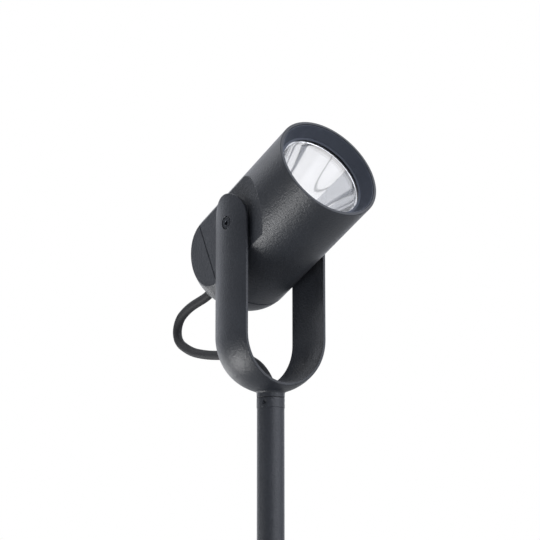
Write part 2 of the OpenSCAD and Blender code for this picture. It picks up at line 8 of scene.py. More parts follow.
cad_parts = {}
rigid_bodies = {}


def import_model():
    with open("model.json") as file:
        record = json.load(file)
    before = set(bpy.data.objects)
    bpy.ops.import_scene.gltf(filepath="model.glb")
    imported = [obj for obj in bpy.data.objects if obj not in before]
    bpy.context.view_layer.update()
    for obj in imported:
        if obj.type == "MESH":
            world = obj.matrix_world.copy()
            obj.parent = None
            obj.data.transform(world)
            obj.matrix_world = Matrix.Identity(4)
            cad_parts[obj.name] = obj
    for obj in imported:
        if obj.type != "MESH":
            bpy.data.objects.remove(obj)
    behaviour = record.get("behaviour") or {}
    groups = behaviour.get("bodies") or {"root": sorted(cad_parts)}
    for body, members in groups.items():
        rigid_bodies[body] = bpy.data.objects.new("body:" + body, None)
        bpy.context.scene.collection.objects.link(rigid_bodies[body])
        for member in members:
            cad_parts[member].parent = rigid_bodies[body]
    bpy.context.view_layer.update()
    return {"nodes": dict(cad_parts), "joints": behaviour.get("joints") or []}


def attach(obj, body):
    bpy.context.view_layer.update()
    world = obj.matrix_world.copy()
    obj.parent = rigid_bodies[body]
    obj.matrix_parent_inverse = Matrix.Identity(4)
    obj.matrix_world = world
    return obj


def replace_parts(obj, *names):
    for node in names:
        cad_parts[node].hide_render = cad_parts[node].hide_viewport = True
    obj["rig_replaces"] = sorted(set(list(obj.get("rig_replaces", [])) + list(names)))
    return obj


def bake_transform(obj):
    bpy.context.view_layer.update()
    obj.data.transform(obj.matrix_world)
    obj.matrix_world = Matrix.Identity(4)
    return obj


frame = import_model()

# Sizes are in millimetres until a piece is placed, and angles are in degrees
MM = 0.001
PIVOT = Vector(next(j["pos_m"] for j in frame["joints"] if j["name"] == "head_tilt"))
PIVOT_H = PIVOT.z / MM
HEAD_TILT = 26

# Head, along its own axis from the tilt axis
HEAD_R = 51.5
RIM = 96
HOUSING_BACK = -47.1
CAP_FRONT = -47.9
SEAM = -47.5
CAP_DEPTH = 43
CAP_WALL = 3
BORE_R = 37.96
WIDE_R = 41.95
LEDGE_R = 44.5
MOUTH_R = 48.5
WIDE_Z = 56
TRIM_Z = 74
LEDGE_Z = 80
WEB = (8, 14)

# The glass bends no light in the render. The pane is 1.6 mm thick instead of 3 mm, and the recess ring stands
# lower, so that the step between the ring and the reflector looks as deep as it does through real glass.
GLASS_BACK = 81.5
GLASS_FACE = 83.1
GLASS_R = 47.7

# Flat sides of the head, and the slope at their front edge
FLAT = 40.46
FLAT_REACH = 44
FLAT_RUN = 8
EDGE_Y = math.sqrt(HEAD_R ** 2 - FLAT ** 2)
TIP_Z = math.sqrt(FLAT_REACH ** 2 - EDGE_Y ** 2)

# Yoke
YOKE_R = 51
YOKE_IN = 48.7
STRIP = 23.5
BOWL_Z = 399
ARM_ROUND_Z = 503.5
NECK_R = 12.8
NECK_BOTTOM = 344.5
NECK_FILLET = 2.5
STEM_R = 7.55
STEM_TOP = 349.3
CABLE_HOLE = 6.8
GROMMET_R = 8.45
RECESS_R = 6.1
RECESS_X = 48.4
BUSH_R = 4.6
PAD_R = 10
PAD_X = 46.5
BOSS_R = 11
BOSS_X = 45.4
BOSS_FOOT = 2

# Collar, pole and foot
COLLAR = (334.9, 343.9)
SPIGOT_R = 10.45
SPIGOT_BOTTOM = 310.9
SET_SCREW_R = 2
SET_SCREW_SINK = 0.4
SET_SCREW_AT = 205
SET_SCREWS = 3
SCREW_GAP = 0.05
POLE_R = 12.5
POLE_IN = 10.5
FOOT_R = 65
FOOT_T = 8
FOOT_CHAMFER = 1.5
FOOT_HOLE_R = 4.5
FOOT_HOLE_AT = 50
OUTLET_R = 9
SOCKET_R = 17.15
SOCKET_IN = 12.65
SOCKET_TOP = 44
WELD = 4
GRUB_R = 3
GRUB_Z = 31.5

# Cable
CABLE_R = 4.4
GLAND_END = -105.1
GROMMET_TOP = 351.8

UPRIGHT = Matrix.Scale(MM, 4)
HEAD = Matrix.Translation(PIVOT) @ Matrix.Rotation(math.radians(90 - HEAD_TILT), 4, "X") @ UPRIGHT


def across(side, height=PIVOT_H):
    """Place whose z runs out along the tilt axis, to the side 1 or -1"""
    return Matrix.Translation((0, 0, height * MM)) @ Matrix.Rotation(side * math.pi / 2, 4, "Y") @ UPRIGHT


def outwards(angle, height):
    """Place whose z runs level away from the pole's axis"""
    turn = Matrix.Rotation(math.radians(angle), 4, "Z") @ Matrix.Rotation(math.pi / 2, 4, "Y")
    return Matrix.Translation((0, 0, height * MM)) @ turn @ UPRIGHT


# Camera, where the photograph was taken from: in front, to the lamp's left and below it
VIEW_TURN = math.radians(36.97)
VIEW_UP = math.radians(10.19)
VIEW_FROM = 1.82606
VIEW_BELOW = 0.3661
VIEW_ASIDE = math.radians(0.02)
LENS = 134.97
SENSOR = 36


def add_camera():
    data = bpy.data.cameras.new("camera")
    data.lens = LENS
    data.sensor_width = SENSOR
    camera = bpy.data.objects.new("camera", data)
    bpy.context.scene.collection.objects.link(camera)
    away = Vector((math.sin(VIEW_TURN), math.cos(VIEW_TURN), 0))
    camera.location = PIVOT - VIEW_FROM * away - Vector((0, 0, VIEW_BELOW))
    aim = VIEW_TURN - VIEW_ASIDE
    look = Vector((math.sin(aim), math.cos(aim), math.tan(VIEW_UP)))
    camera.rotation_euler = look.to_track_quat("-Z", "Y").to_euler()
    bpy.context.scene.camera = camera


# Finishes

def linear(hex_colour):
    """Linear colour of an sRGB hex value"""
    parts = [int(hex_colour[i:i + 2], 16) / 255 for i in (1, 3, 5)]
    return [p / 12.92 if p <= 0.04045 else ((p + 0.055) / 1.055) ** 2.4 for p in parts] + [1]


def per_mm(size):
    """Scale of a pattern whose features are that many millimetres across"""
    return 1 / (size * MM)


def add(tree, kind, sockets=None, **settings):
    """Adds a shader node; a socket takes a value or another node's output"""
    node = tree.nodes.new("ShaderNode" + kind)
    for key, value in settings.items():
        setattr(node, key, value)
    for key, value in (sockets or {}).items():
        if isinstance(value, bpy.types.NodeSocket):
            tree.links.new(value, node.inputs[key])
        else:
            node.inputs[key].default_value = value
    return node


def new_finish(name):
    """A material with its surface still to be linked: the material, its nodes and the place on the surface"""
    material = bpy.data.materials.new(name)
    material.use_nodes = True
    tree = material.node_tree
    tree.nodes.clear()
    return material, tree, add(tree, "TexCoord").outputs["Object"]


def show(tree, shader):
    """Puts the shader on the surface"""
    add(tree, "OutputMaterial", {"Surface": shader.outputs[0]})


def shades(tree, factor, dark, light, low=0.35, high=0.65):
    """Colour that goes from dark to light as the factor goes from low to high"""
    ramp = add(tree, "ValToRGB", {"Fac": factor})
    ramp.color_ramp.elements[0].position = low
    ramp.color_ramp.elements[0].color = linear(dark)
    ramp.color_ramp.elements[1].position = high
    ramp.color_ramp.elements[1].color = linear(light)
    return ramp.outputs["Color"]


def spread(tree, factor, low, high):
    """Value between low and high as the factor goes from 0 to 1"""
    return add(tree, "MapRange", {"Value": factor, "To Min": low, "To Max": high}).outputs["Result"]


def powder_coat(name, dark, light, roughness):
    """Fine-textured polyester powder, baked: a dull, even skin with a close grain and soft highlights.
    The real grain is about 0.3 mm and is drawn at 1.8 mm, so that it shows."""
    material, tree, place = new_finish(name)
    grain = add(tree, "TexNoise", {"Vector": place, "Scale": per_mm(1.8), "Detail": 3, "Roughness": 0.6})
    cloud = add(tree, "TexNoise", {"Vector": place, "Scale": per_mm(35), "Detail": 2})
    speck = add(tree, "Math", {0: grain.outputs[0], 1: cloud.outputs[0]}, operation="ADD")
    half = add(tree, "Math", {0: speck.outputs[0], 1: 0.5}, operation="MULTIPLY")
    bump = add(tree, "Bump", {"Strength": 1, "Distance": 0.38 * MM, "Height": grain.outputs[0]})
    show(tree, add(tree, "BsdfPrincipled", {
        "Base Color": shades(tree, half.outputs[0], dark, light),
        "Roughness": spread(tree, grain.outputs[0], roughness - 0.06, roughness + 0.08),
        "IOR": 1.5,
        "Normal": bump.outputs[0],
    }))
    return material


def anodised():
    """Anodised aluminium, etched matt first: a dark blue-grey with a satin grain.
    The real grain is about 0.1 mm and is drawn at 0.8 mm, so that it shows."""
    material, tree, place = new_finish("anodised aluminium")
    grain = add(tree, "TexNoise", {"Vector": place, "Scale": per_mm(0.8), "Detail": 2})
    bump = add(tree, "Bump", {"Strength": 0.2, "Distance": 0.03 * MM, "Height": grain.outputs[0]})
    show(tree, add(tree, "BsdfPrincipled", {
        "Base Color": shades(tree, grain.outputs[0], "#3f444e", "#4b505b"),
        "Roughness": spread(tree, grain.outputs[0], 0.45, 0.56),
        "Metallic": 0.3,
        "Normal": bump.outputs[0],
    }))
    return material


def moulded_black():
    """Moulded black nylon: a fine spark texture from the mould and a low sheen.
    The real texture is about 0.2 mm and is drawn at 0.7 mm, so that it shows."""
    material, tree, place = new_finish("moulded nylon")
    grain = add(tree, "TexVoronoi", {"Vector": place, "Scale": per_mm(0.7)})
    bump = add(tree, "Bump", {"Strength": 0.25, "Distance": 0.04 * MM, "Height": grain.outputs["Distance"]})
    show(tree, add(tree, "BsdfPrincipled", {
        "Base Color": shades(tree, grain.outputs["Distance"], "#15161a", "#1d1e22", 0.1, 0.9),
        "Roughness": spread(tree, grain.outputs["Distance"], 0.45, 0.6),
        "IOR": 1.53,
        "Normal": bump.outputs[0],
    }))
    return material


def rubber():
    """Extruded black rubber sheath: dull, with a faint grey bloom and a broad soft shine.
    The real skin's grain is about 0.2 mm and is drawn at 0.9 mm, so that it shows."""
    material, tree, place = new_finish("rubber")
    bloom = add(tree, "TexNoise", {"Vector": place, "Scale": per_mm(40), "Detail": 2})
    grain = add(tree, "TexNoise", {"Vector": place, "Scale": per_mm(0.9), "Detail": 2})
    bump = add(tree, "Bump", {"Strength": 0.1, "Distance": 0.02 * MM, "Height": grain.outputs[0]})
    show(tree, add(tree, "BsdfPrincipled", {
        "Base Color": shades(tree, bloom.outputs[0], "#121317", "#191a1e"),
        "Roughness": spread(tree, bloom.outputs[0], 0.62, 0.74),
        "IOR": 1.52,
        "Normal": bump.outputs[0],
    }))
    return material


def clear_glass():
    """Toughened float glass: clear, with a crisp reflection that grows towards the edge of the view"""
    material, tree, _ = new_finish("toughened glass")
    clear = add(tree, "BsdfTransparent", {"Color": linear("#fdfdfd")})
    gloss = add(tree, "BsdfGlossy", {"Color": linear("#ffffff"), "Roughness": 0.03})
    inside = add(tree, "NewGeometry").outputs["Backfacing"]
    edge = add(tree, "Fresnel", {"IOR": spread(tree, inside, 1.5, 1 / 1.5)})
    show(tree, add(tree, "MixShader", {0: edge.outputs[0], 1: clear.outputs[0], 2: gloss.outputs[0]}))
    return material


def metallised():
    """Vacuum-metallised aluminium: a mirror with a faint haze and slow waves from the spinning"""
    material, tree, place = new_finish("metallised aluminium")
    wave = add(tree, "TexNoise", {"Vector": place, "Scale": per_mm(30), "Detail": 1})
    bump = add(tree, "Bump", {"Strength": 0.15, "Distance": 0.2 * MM, "Height": wave.outputs[0]})
    show(tree, add(tree, "BsdfPrincipled", {
        "Base Color": shades(tree, wave.outputs[0], "#f2f2f3", "#fafafb"),
        "Metallic": 1,
        "Roughness": spread(tree, wave.outputs[0], 0.04, 0.09),
        "Normal": bump.outputs[0],
    }))
    return material


def metal(name, dark, light, roughness, grain_mm):
    """Bare metal with a drawn or milled grain, brighter and duller in small patches.
    The real grain is about 0.1 mm and is drawn at 0.9 to 1.5 mm, so that it shows."""
    material, tree, place = new_finish(name)
    grain = add(tree, "TexNoise", {"Vector": place, "Scale": per_mm(grain_mm), "Detail": 3})
    bump = add(tree, "Bump", {"Strength": 0.15, "Distance": 0.04 * MM, "Height": grain.outputs[0]})
    show(tree, add(tree, "BsdfPrincipled", {
        "Base Color": shades(tree, grain.outputs[0], dark, light),
        "Metallic": 1,
        "Roughness": spread(tree, grain.outputs[0], roughness - 0.06, roughness + 0.08),
        "Normal": bump.outputs[0],
    }))
    return material


def plastic(name, dark, light, roughness):
    """Moulded or printed hidden parts: a plain colour with a faint mottle"""
    material, tree, place = new_finish(name)
    mottle = add(tree, "TexNoise", {"Vector": place, "Scale": per_mm(3), "Detail": 2})
    show(tree, add(tree, "BsdfPrincipled", {
        "Base Color": shades(tree, mottle.outputs[0], dark, light),
        "Roughness": spread(tree, mottle.outputs[0], roughness - 0.05, roughness + 0.05),
    }))
    return material


FINISHES = {
    "cast_aluminium": powder_coat("powder-coated aluminium", "#22252b", "#2c2f35", 0.38),
    "coated_steel": powder_coat("powder-coated steel", "#22252b", "#2c2f35", 0.4),
    "matt_black": anodised(),
    "black_plastic": moulded_black(),
    "black_rubber": rubber(),
    "clear_glass": clear_glass(),
    "bright_reflector": metallised(),
    "bare_aluminium": metal("bare aluminium", "#c8cacc", "#d8dadc", 0.34, 1.5),
    "steel": metal("zinc-plated steel", "#b9bcc0", "#cfd1d4", 0.28, 1.2),
    "dark_screw": metal("black-oxide steel", "#34363a", "#4a4d52", 0.34, 0.9),
    "brass": metal("machined brass", "#b79a5b", "#cdb273", 0.3, 1.2),
    "white_plastic": plastic("white polycarbonate", "#e6e6e2", "#f0f0ec", 0.4),
    "board": plastic("solder resist", "#dfe1dd", "#eceee9", 0.35),
    "phosphor": plastic("phosphor coat", "#efd257", "#f7e080", 0.6),
    "wire": plastic("wire insulation", "#8c1d1b", "#a32a26", 0.45),
}


# Mesh helpers

TINY = 0.002
MERGE = 0.004
EDGE_SHARE = 0.45
STRAIGHT = math.radians(89.5)
BEVEL_FROM = math.radians(32)
CREASE_FROM = math.radians(38)


def rounded(corners, closed=False, steps=4):
    """Line through corners, each a point and a radius, with an arc of that radius at the corner"""
    line = []
    last = len(corners) - 1
    for i, (corner, radius) in enumerate(corners):
        if radius == 0 or (not closed and i in (0, last)):
            line.append(corner)
            continue
        back = corners[i - 1][0] - corner
        ahead = corners[i + 1 if i < last else 0][0] - corner
        half = back.angle(ahead, math.pi) / 2
        reach = min(radius / math.tan(half), EDGE_SHARE * back.length, EDGE_SHARE * ahead.length)
        if reach < TINY or half > STRAIGHT:
            line += [corner] * (steps + 1)
            continue
        back.normalize()
        ahead.normalize()
        centre = corner + (back + ahead).normalized() * reach / math.cos(half)
        size = reach * math.tan(half)
        start = (corner + back * reach - centre).normalized()
        end = (corner + ahead * reach - centre).normalized()
        line += [centre + start.slerp(end, k / steps) * size for k in range(steps + 1)]
    return line


def spun(profile, around=96, closed=False, angles=None):
    """Columns of a shape turned about z. The profile is a list of radius, height and rounding,
    or a function of the angle that gives one; closed is for a section that stays off the axis."""
    columns = []
    for angle in angles or [360 * k / around for k in range(around + 1)]:
        turn = math.radians(angle)
        corners = profile(turn) if callable(profile) else profile
        line = rounded(
            [(Vector((r * math.cos(turn), r * math.sin(turn), z)), fillet) for r, z, fillet in corners],
            closed,
        )
        columns.append(line + line[:1] if closed else line)
    return columns


def polygon_radius(turn, corner_r, sides=6):
    """Radius of a regular polygon, with a corner at angle 0, in the direction of the turn"""
    part = 2 * math.pi / sides
    return corner_r * math.cos(part / 2) / math.cos(turn % part - part / 2)


def steps_between(start, end, count):
    """Even steps from start to end, with both of them"""
    return [start + (end - start) * k / count for k in range(count + 1)]


def rings_between(outline, centre, radius, shares):
    """For each point of an outline, the points on its way in to a circle round the centre"""
    lines = []
    for p in outline:
        on_circle = centre + (p - centre).normalized() * radius
        lines.append([p.lerp(on_circle, share) for share in shares])
    return lines


def make(name, parts, bevel=0.0, fade=None):
    """Closed mesh from parts, each a list of point columns and its place. Sharp outer edges are
    rounded by the bevel, which fade may make narrower near a point."""
    shell = bmesh.new()
    size = shell.edges.layers.float.new("bevel_weight_edge")
    for columns, place in parts:
        part = bmesh.new()
        grid = [[part.verts.new(p) for p in column] for column in columns]
        for near, far in zip(grid, grid[1:]):
            for corners in zip(near, near[1:], far[1:], far):
                part.faces.new(corners)
        bmesh.ops.remove_doubles(part, verts=part.verts, dist=MERGE)
        part.transform(place)
        store = bpy.data.meshes.new(name)
        part.to_mesh(store)
        part.free()
        shell.from_mesh(store)
        bpy.data.meshes.remove(store)
    bmesh.ops.remove_doubles(shell, verts=shell.verts, dist=MERGE * MM)
    bmesh.ops.delete(shell, geom=[e for e in shell.edges if e.is_wire], context="EDGES")
    bmesh.ops.recalc_face_normals(shell, faces=shell.faces)
    for edge in shell.edges:
        if edge.calc_face_angle(0) > BEVEL_FROM and edge.is_convex:
            middle = (edge.verts[0].co + edge.verts[1].co) / 2
            edge[size] = fade(middle) if fade else 1
    mesh = bpy.data.meshes.new(name)
    shell.to_mesh(mesh)
    shell.free()
    piece = bpy.data.objects.new(name, mesh)
    bpy.context.scene.collection.objects.link(piece)
    if bevel:
        edges = piece.modifiers.new("edges", "BEVEL")
        edges.width = bevel * MM
        edges.segments = 3
        edges.limit_method = "WEIGHT"
        edges.use_clamp_overlap = False
        settle(piece)
    piece.data.polygons.foreach_set("use_smooth", [True] * len(piece.data.polygons))
    piece.data.set_sharp_from_angle(angle=CREASE_FROM)
    normals = piece.modifiers.new("normals", "WEIGHTED_NORMAL")
    normals.keep_sharp = True
    settle(piece)
    return piece


def settle(piece):
    """Applies the piece's modifiers to its mesh"""
    graph = bpy.context.evaluated_depsgraph_get()
    shaped = bpy.data.meshes.new_from_object(
        piece.evaluated_get(graph), preserve_all_data_layers=True, depsgraph=graph
    )
    piece.modifiers.clear()
    piece.data = shaped


def fit(piece, body, slot, *nodes):
    """Gives the piece its finish, its body and the solids that it stands for"""
    piece.data.materials.clear()
    piece.data.materials.append(FINISHES[slot])
    if body:
        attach(piece, body)
    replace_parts(piece, *nodes)


add_camera()

# Cable from the back of the head into the yoke, one length of three-core rubber flex.
# Points of its route in metres: y and z. It leaves the gland and enters the grommet straight for a little
LOOP = [
    (0.105, 0.4498), (0.112, 0.4481), (0.119, 0.4465), (0.1255, 0.4448), (0.132, 0.4426),
    (0.1385, 0.4396), (0.1445, 0.4358), (0.1488, 0.4302), (0.1508, 0.4232), (0.1494, 0.416),
    (0.1448, 0.4102), (0.138, 0.406), (0.13, 0.4022), (0.121, 0.399), (0.11, 0.3964),
    (0.098, 0.3942), (0.085, 0.3925), (0.071, 0.391), (0.057, 0.389), (0.045, 0.3866),
    (0.035, 0.3836), (0.0262, 0.3799), (0.0186, 0.3756), (0.0122, 0.3706), (0.0068, 0.365),
    (0.0028, 0.3596), (0.0006, 0.3554),
]
LOOP_OUT = 4
LOOP_IN = 1


def cable_route(steps=4):
    """Smooth line along the cable's route, square to the gland and to the grommet at its ends"""
    ends = [HEAD @ Vector((0, 0, GLAND_END)), HEAD @ Vector((0, 0, GLAND_END - LOOP_OUT))]
    down = [Vector((0, 0, (GROMMET_TOP + LOOP_IN) * MM)), Vector((0, 0, GROMMET_TOP * MM))]
    points = ends + [Vector((0, y, z)) for y, z in LOOP] + down
    points = points[:1] + points + points[-1:]
    line = []
    for a, b, c, d in zip(points, points[1:], points[2:], points[3:]):
        for k in range(steps):
            t = k / steps
            bend = (2 * a - 5 * b + 4 * c - d) * t ** 2
            twist = (3 * b - a - 3 * c + d) * t ** 3
            line.append(0.5 * (2 * b + (c - a) * t + bend + twist))
    return line + down[1:]


def tube(line, radius, sides=24):
    """Columns of a round tube along a line in the plane x = 0, with closed ends"""
    rings = []
    for i, p in enumerate(line):
        ahead = (line[min(i + 1, len(line) - 1)] - line[max(i - 1, 0)]).normalized()
        over = Vector((1, 0, 0))
        up = ahead.cross(over)
        turns = [2 * math.pi * k / sides for k in range(sides + 1)]
        rings.append([p + radius * (over * math.cos(t) + up * math.sin(t)) for t in turns])
    return [[line[0]] * (sides + 1)] + rings + [[line[-1]] * (sides + 1)]


route = cable_route()
cable = make("cable", [([[p / MM for p in ring] for ring in tube(route, CABLE_R * MM)], UPRIGHT)])
fit(cable, None, "black_rubber", "cable_loop")
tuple(route[-1])
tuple(route[0])
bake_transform(cable)
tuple(route[0])


# Head

FLAT_RISE = (HEAD_R - FLAT) / FLAT_RUN
HALVINGS = 40


def slope_out(sine):
    """Radius about the tilt axis at which the slope meets the round surface"""
    low = FLAT_REACH
    high = FLAT_REACH + FLAT_RUN
    for _ in range(HALVINGS):
        middle = (low + high) / 2
        if FLAT + FLAT_RISE * (middle - FLAT_REACH) < math.sqrt(HEAD_R ** 2 - (middle * sine) ** 2):
            low = middle
        else:
            high = middle
    return low


def housing_column(bottom, edge, top):
    """Section of the housing through three points of its outside, closed round the bore and the web"""
    turn = math.atan2(top.y, top.x)

    def inside(r, z):
        return Vector((r * math.cos(turn), r * math.sin(turn), z))

    line = rounded([
        (bottom, 0.4), (edge, 0.5), (top, 0.8), (Vector((top.x, top.y, RIM)), 0.8),
        (inside(MOUTH_R, RIM), 0.6), (inside(MOUTH_R, LEDGE_Z), 0), (inside(LEDGE_R, LEDGE_Z), 0),
        (inside(LEDGE_R, TRIM_Z), 0), (inside(WIDE_R, TRIM_Z), 0), (inside(WIDE_R, WIDE_Z), 0),
        (inside(BORE_R, WIDE_Z), 0), (inside(BORE_R, WEB[1]), 0), (inside(0, WEB[1]), 0),
        (inside(0, WEB[0]), 0), (inside(BORE_R, WEB[0]), 0), (inside(BORE_R, HOUSING_BACK), 0.4),
    ], closed=True)
    return line + line[:1]


def housing_columns():
    """Sections all round the housing: across each flat side, then over the round surface to the next one"""
    widest = math.asin(EDGE_Y / FLAT_REACH)
    start = math.asin(EDGE_Y / HEAD_R)
    columns = []
    for side in (1, -1):
        for angle in steps_between(-widest, widest, 32):
            sine = side * math.sin(angle)
            far = slope_out(abs(sine))
            x = FLAT + FLAT_RISE * (far - FLAT_REACH)
            columns.append(housing_column(
                Vector((side * FLAT, FLAT_REACH * sine, HOUSING_BACK)),
                Vector((side * FLAT, FLAT_REACH * sine, FLAT_REACH * math.cos(angle))),
                Vector((side * x, far * sine, far * math.cos(angle))),
            ))
        for angle in steps_between(start, math.pi - start, 40)[1:-1]:
            x, y = side * HEAD_R * math.cos(angle), side * HEAD_R * math.sin(angle)
            tip = Vector((x, y, TIP_Z))
            columns.append(housing_column(Vector((x, y, HOUSING_BACK)), tip, tip))
    return columns + columns[:1]


def near_tip(height):
    """Fade for the edges beside the flats, towards their ends at that height on the head's axis"""
    tips = [HEAD @ Vector((x * FLAT, y * EDGE_Y, height)) for x in (1, -1) for y in (1, -1)]

    def fade(point):
        return min(1, max(0.08, min((point - tip).length for tip in tips) / (9 * MM)))

    return fade


boss = [
    (0, BORE_R, 0), (BOSS_R + BOSS_FOOT, BORE_R, 0), (BOSS_R + BOSS_FOOT, FLAT - 0.05, 0),
    (BOSS_R, FLAT, 1.2), (BOSS_R, BOSS_X, 0.5), (0, BOSS_X, 0),
]
housing_parts = [(housing_columns(), HEAD)]
for side in (1, -1):
    along_axis = HEAD @ Matrix.Scale(1 / MM, 4) @ Matrix.Rotation(side * math.pi / 2, 4, "Y") @ UPRIGHT
    housing_parts.append((spun(boss, 72), along_axis))
housing = make("housing", housing_parts, bevel=0.6, fade=near_tip(TIP_Z))
fit(housing, "head", "cast_aluminium", "front_housing")

GLAND_SEAT = -91.1
GLAND_SEAT_R = 11
GLAND_HOLE_R = 8.15
LAST_ROW = math.radians(86)


def dome_rows(turn, less, first, rows):
    """Points of the cap's dome and flat side in one direction, from near its end to the seam"""
    round_r = HEAD_R - less
    straight = (FLAT - less) / max(abs(math.cos(turn)), 0.01)
    crease = min(math.asin(min(straight / round_r, 1)), LAST_ROW)
    angles = steps_between(first, crease, rows) + steps_between(crease, LAST_ROW, 6)[1:]
    points = []
    for a in angles:
        r = min(round_r * math.sin(a), straight)
        points.append((r, SEAM - (CAP_DEPTH - less) * math.cos(a)))
    return points + [(min(round_r, straight), CAP_FRONT)]


def cap_profile(turn):
    """Section of the cap: the gland's seat, the outside, the seam and the inside"""
    outside = dome_rows(turn, 0, math.asin(GLAND_SEAT_R / HEAD_R), 16)
    inside = dome_rows(turn, CAP_WALL, math.asin(GLAND_SEAT_R / (HEAD_R - CAP_WALL)), 16)
    return (
        [(GLAND_HOLE_R, GLAND_SEAT, 0), (GLAND_SEAT_R, GLAND_SEAT, 0.4), (*outside[0], 0.5)]
        + [(r, z, 0) for r, z in outside[1:-1]]
        + [(*outside[-1], 0.4), (*inside[-1], 0)]
        + [(r, z, 0) for r, z in inside[-2:0:-1]]
        + [(GLAND_HOLE_R, inside[0][1], 0)]
    )


flat_end = math.degrees(math.asin(EDGE_Y / HEAD_R))
cap_angles = []
for quarter in (0, 180):
    cap_angles += [quarter + a for a in steps_between(-flat_end, flat_end, 28)[:-1]]
    cap_angles += [quarter + a for a in steps_between(flat_end, 180 - flat_end, 36)[:-1]]
cap_angles.append(360 - flat_end)
cap_columns = spun(cap_profile, closed=True, angles=cap_angles)
cap = make("back_cap", [(cap_columns, HEAD)], bevel=0.6, fade=near_tip(SEAM))
fit(cap, "head", "cast_aluminium", "rear_cap")

ROUND = 144
GLARE_R = 48.35
GLARE_IN = 40.4
GLARE_MOUTH_R = 47.7
GLARE_TOP = 95.2
GLARE = [
    (GLARE_IN, GLASS_FACE, 0), (GLARE_R, GLASS_FACE, 0), (GLARE_R, GLARE_TOP, 0.2),
    (GLARE_MOUTH_R, GLARE_TOP, 0.2), (42.6, 83.6, 0.2), (GLARE_IN, 83.5, 0.15),
]
ring = make("recess_ring", [(spun(GLARE, ROUND, closed=True), HEAD)])
fit(ring, "head", "matt_black", "glare_ring")

TRIM_R = 44.35
TRIM_TOP = 80.2
TRIM = [(WIDE_R, TRIM_Z, 0.2), (TRIM_R, TRIM_Z, 0.2), (TRIM_R, TRIM_TOP, 0.4), (WIDE_R, TRIM_TOP, 0.4)]
trim = make("dark_trim", [(spun(TRIM, ROUND, closed=True), HEAD)])
fit(trim, "head", "black_plastic", "trim_ring")

PANE = [(0, GLASS_BACK, 0), (GLASS_R, GLASS_BACK, 0.5), (GLASS_R, GLASS_FACE, 0.5), (0, GLASS_FACE, 0)]
pane = make("pane", [(spun(PANE, ROUND), HEAD)])
fit(pane, "head", "clear_glass", "front_glass")

BOWL_NECK_R = 11
BOWL_MOUTH_R = 39.6
BOWL_RIM_R = 41.8
BOWL_BOTTOM = 21.6
BOWL_TOP = 81.2
BOWL_EDGE = 79.7
BOWL_WALL = 1.2
BOWL_STEP = 0.6


def bowl_profile():
    """Parabola from the neck to a small step and the dished rim, and back along the outside"""
    def height(r):
        share = (r ** 2 - BOWL_NECK_R ** 2) / (BOWL_MOUTH_R ** 2 - BOWL_NECK_R ** 2)
        return BOWL_BOTTOM + (BOWL_EDGE - BOWL_BOTTOM) * share

    radii = steps_between(BOWL_NECK_R, BOWL_MOUTH_R, 40)
    inner = [(r, height(r), 0) for r in radii[:-1]]
    rim = [
        (BOWL_MOUTH_R, BOWL_EDGE, 0), (BOWL_MOUTH_R, BOWL_EDGE + BOWL_STEP, 0.1),
        (BOWL_RIM_R, BOWL_TOP, 0.2), (BOWL_RIM_R, BOWL_EDGE, 0),
    ]
    return inner + rim + [(r + BOWL_WALL, height(r), 0) for r in radii[-3::-1]]


bowl = make("bright_bowl", [(spun(bowl_profile(), ROUND, closed=True), HEAD)])
fit(bowl, "head", "bright_reflector", "reflector")


# Cable entry

LEAD_HOLE_R = 4.55
FLANGE_FACE = -96.1
FLANGE_CORNER_R = 10
FLANGE_FACE_R = 8.9
THREAD_R = 8
THREAD_END = -81.5
NUT_R = 8.8
NUT_TIP_R = 6.4
NUT_TAPER = -101.1
GROOVES = 18
GROOVE_DEPTH = 0.45


def gland_nut_profile(turn):
    """Hexagonal flange with chamfered corners, and the thread behind it"""
    h = polygon_radius(turn, FLANGE_CORNER_R)
    low = min(h, FLANGE_FACE_R)
    cut = (h - low) * 0.5
    return [
        (LEAD_HOLE_R, FLANGE_FACE, 0), (low, FLANGE_FACE, 0), (h, FLANGE_FACE + cut, 0),
        (h, GLAND_SEAT - cut, 0), (low, GLAND_SEAT, 0), (THREAD_R, GLAND_SEAT, 0),
        (THREAD_R, THREAD_END, 0), (LEAD_HOLE_R, THREAD_END, 0),
    ]


def gland_cap_profile(turn):
    """Tapered cap nut with shallow grip grooves"""
    outer = NUT_R - GROOVE_DEPTH * max(0, math.cos(GROOVES * turn)) ** 2
    return [
        (LEAD_HOLE_R, GLAND_END, 0.3), (NUT_TIP_R, GLAND_END, 0.6), (outer, NUT_TAPER, 0.8),
        (outer, FLANGE_FACE, 0.25), (LEAD_HOLE_R, FLANGE_FACE, 0),
    ]


gland = make("gland_flange", [(spun(gland_nut_profile, 96, closed=True), HEAD)], bevel=0.25)
fit(gland, "head", "black_plastic", "gland_body")
gland_top = make("gland_cap_nut", [(spun(gland_cap_profile, 180, closed=True), HEAD)])
fit(gland_top, "head", "black_plastic", "gland_cap")


# Screws

def socket_screw(radius, face, socket_r, depth, shank):
    """Screw with a hexagon socket in its face; the shank is the profile behind the head"""
    def profile(turn):
        h = polygon_radius(turn, socket_r)
        return shank + [
            (radius, face, 0.35), (h + 0.25, face, 0), (h, face - 0.25, 0),
            (h, face - depth, 0), (0, face - depth - 0.4, 0),
        ]

    return spun(profile, 96)


